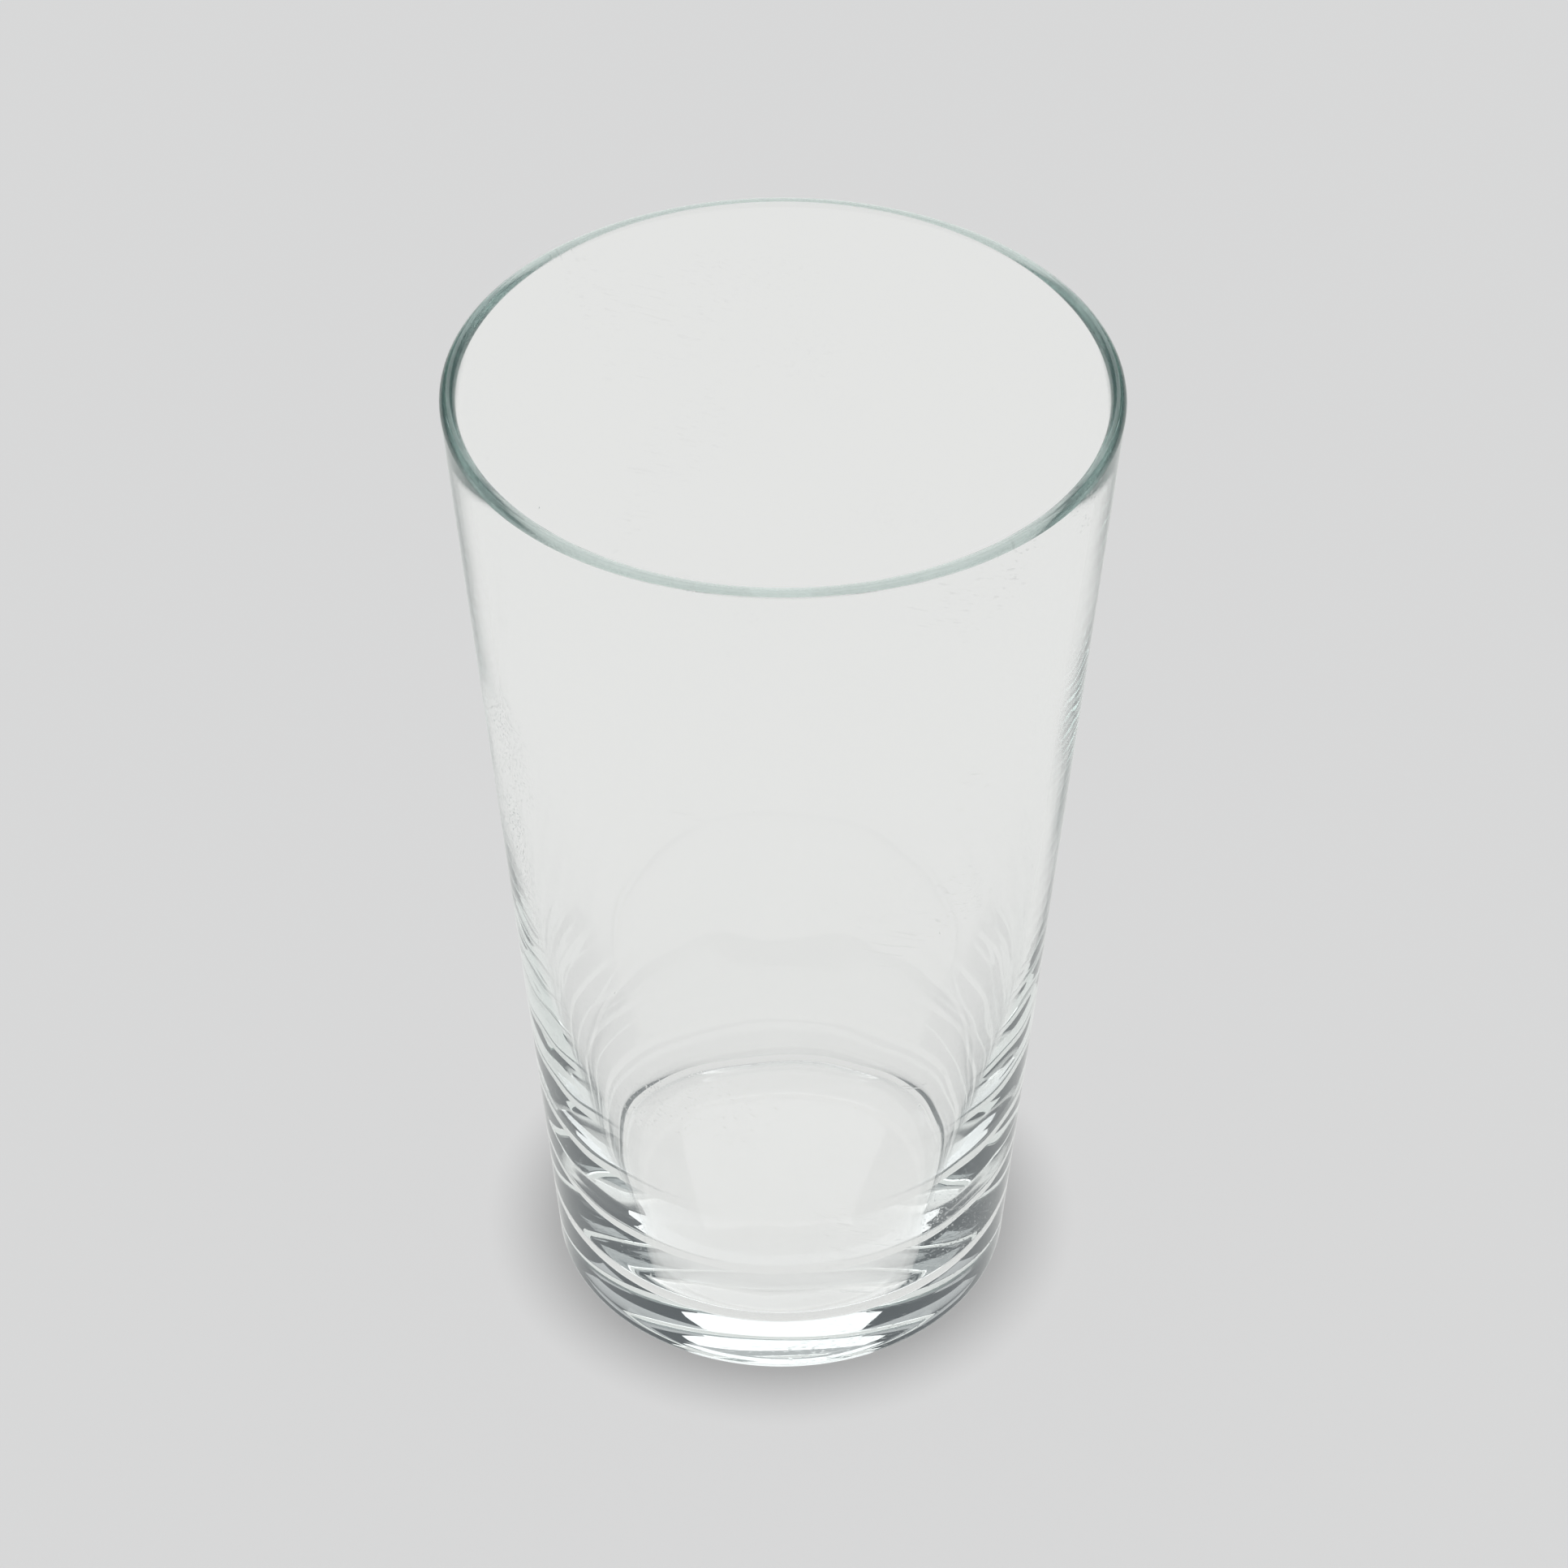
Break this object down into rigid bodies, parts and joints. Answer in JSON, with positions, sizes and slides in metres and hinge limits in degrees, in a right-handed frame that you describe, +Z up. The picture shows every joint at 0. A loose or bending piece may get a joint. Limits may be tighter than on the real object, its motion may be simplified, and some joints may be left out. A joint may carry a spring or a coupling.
{
  "type": "mixing glass",
  "caption": "Tapered clear glass tumbler with a heavy base and a fire-polished lip, for stirring and shaking drinks.",
  "frame": {"origin": "centre of the plane that the foot ring stands on", "axes": "+Z up along the axis of the glass, towards the lip; X and Y are alike, because the glass is round"},
  "size_m": [0.0888, 0.0888, 0.1492],
  "materials": {
    "clear_glass": "clear pressed soda-lime glass with a faint sea-green tint, fire polished"
  },
  "bodies": {
    "root": {"glass_body": "clear_glass"}
  },
  "joints": []
}
